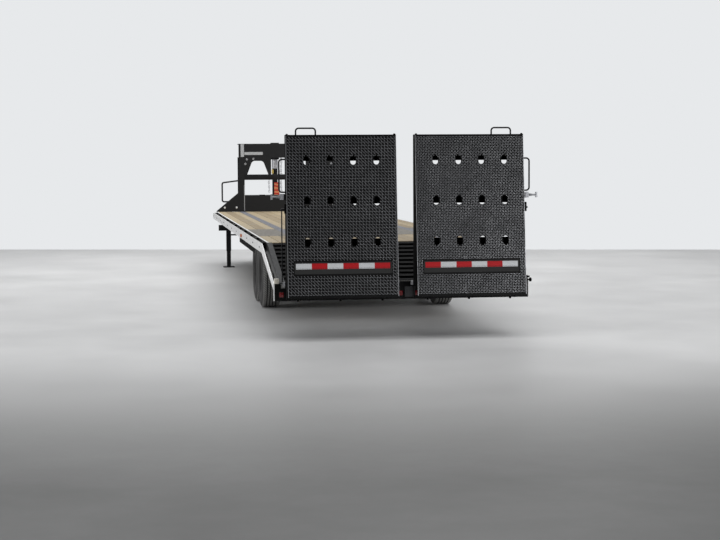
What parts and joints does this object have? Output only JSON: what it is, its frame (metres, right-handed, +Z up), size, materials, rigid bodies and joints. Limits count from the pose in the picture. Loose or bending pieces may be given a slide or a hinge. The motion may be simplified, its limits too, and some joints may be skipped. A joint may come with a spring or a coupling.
{
  "type": "gooseneck flatbed trailer",
  "caption": "Long deck-over gooseneck flatbed trailer with a wooden deck, a sloping dovetail, upright tread-plate ramps, tandem axles and landing jacks.",
  "frame": {"origin": "under the middle of the whole trailer, on the ground it stands on", "axes": "+Y forwards, the way it is towed; +X to its right; +Z up"},
  "size_m": [2.664, 15.387, 2.0836],
  "materials": {
    "black_powder_coat": "satin black powder coat",
    "black_tread_plate": "powder coated tread plate",
    "grey_deck_steel": "worn grey painted deck steel",
    "white_rail_paint": "pale grey gloss paint",
    "treated_pine": "sawn treated pine planks",
    "red_lens": "red acrylic lamp lens",
    "tyre_rubber": "black tyre rubber",
    "rim_paint": "black painted wheel",
    "bare_steel": "zinc plated steel"
  },
  "bodies": {
    "chassis": {"main_beams": "black_powder_coat", "cross_members": "black_powder_coat", "side_channels": "black_powder_coat", "front_header": "black_powder_coat", "deck_boards_rear": "treated_pine", "deck_boards_front": "treated_pine", "wheel_cover_plates": "grey_deck_steel", "rub_rails": "white_rail_paint", "stake_pockets": "black_powder_coat", "dovetail_frame": "black_powder_coat", "dovetail_bars": "black_powder_coat", "rear_bumper": "black_powder_coat", "tail_lamps": "red_lens", "ramp_hinge_lugs": "black_powder_coat", "axle_rear": "black_powder_coat", "axle_front": "black_powder_coat", "leaf_springs": "black_powder_coat", "spring_hangers": "black_powder_coat", "jack_tubes": "black_powder_coat", "jack_legs": "black_powder_coat", "jack_braces": "black_powder_coat", "neck_risers": "black_powder_coat", "neck_beams": "black_powder_coat", "neck_cross_beam": "black_powder_coat", "neck_arch": "black_powder_coat", "coupler_sleeve": "black_powder_coat", "coupler_tube": "bare_steel", "safety_chains": "bare_steel", "toolbox": "black_powder_coat", "wing_plates": "black_powder_coat", "grab_handles": "black_powder_coat", "side_skirts": "black_powder_coat"},
    "toolbox_lid": {"toolbox_lid": "black_powder_coat"},
    "ramp_left": {"ramp_left_frame": "black_powder_coat", "ramp_left_tread": "black_tread_plate", "ramp_left_fittings": "black_powder_coat"},
    "ramp_right": {"ramp_right_frame": "black_powder_coat", "ramp_right_tread": "black_tread_plate", "ramp_right_fittings": "black_powder_coat"},
    "wheel_left_rear": {"tyre_left_rear": "tyre_rubber", "rim_left_rear": "rim_paint"},
    "wheel_left_front": {"tyre_left_front": "tyre_rubber", "rim_left_front": "rim_paint"},
    "wheel_right_rear": {"tyre_right_rear": "tyre_rubber", "rim_right_rear": "rim_paint"},
    "wheel_right_front": {"tyre_right_front": "tyre_rubber", "rim_right_front": "rim_paint"}
  },
  "joints": [
    {"name": "ramp_left_hinge", "type": "hinge", "parent": "chassis", "child": "ramp_left", "pos_m": [-0.639, -7.4235, 0.54061], "axis": [1, 0, 0], "range_deg": [-77, 106]},
    {"name": "ramp_right_hinge", "type": "hinge", "parent": "chassis", "child": "ramp_right", "pos_m": [0.639, -7.4235, 0.54061], "axis": [1, 0, 0], "range_deg": [-77, 106]},
    {"name": "toolbox_lid_hinge", "type": "hinge", "parent": "chassis", "child": "toolbox_lid", "pos_m": [0, 5.3685, 1.13], "axis": [-1, 0, 0], "range_deg": [0, 100]},
    {"name": "wheel_left_rear_spin", "type": "hinge", "parent": "chassis", "child": "wheel_left_rear", "pos_m": [-1.045, -3.7635, 0.391], "axis": [1, 0, 0], "continuous": true},
    {"name": "wheel_left_front_spin", "type": "hinge", "parent": "chassis", "child": "wheel_left_front", "pos_m": [-1.045, -2.8875, 0.391], "axis": [1, 0, 0], "continuous": true},
    {"name": "wheel_right_rear_spin", "type": "hinge", "parent": "chassis", "child": "wheel_right_rear", "pos_m": [1.045, -3.7635, 0.391], "axis": [1, 0, 0], "continuous": true},
    {"name": "wheel_right_front_spin", "type": "hinge", "parent": "chassis", "child": "wheel_right_front", "pos_m": [1.045, -2.8875, 0.391], "axis": [1, 0, 0], "continuous": true}
  ]
}
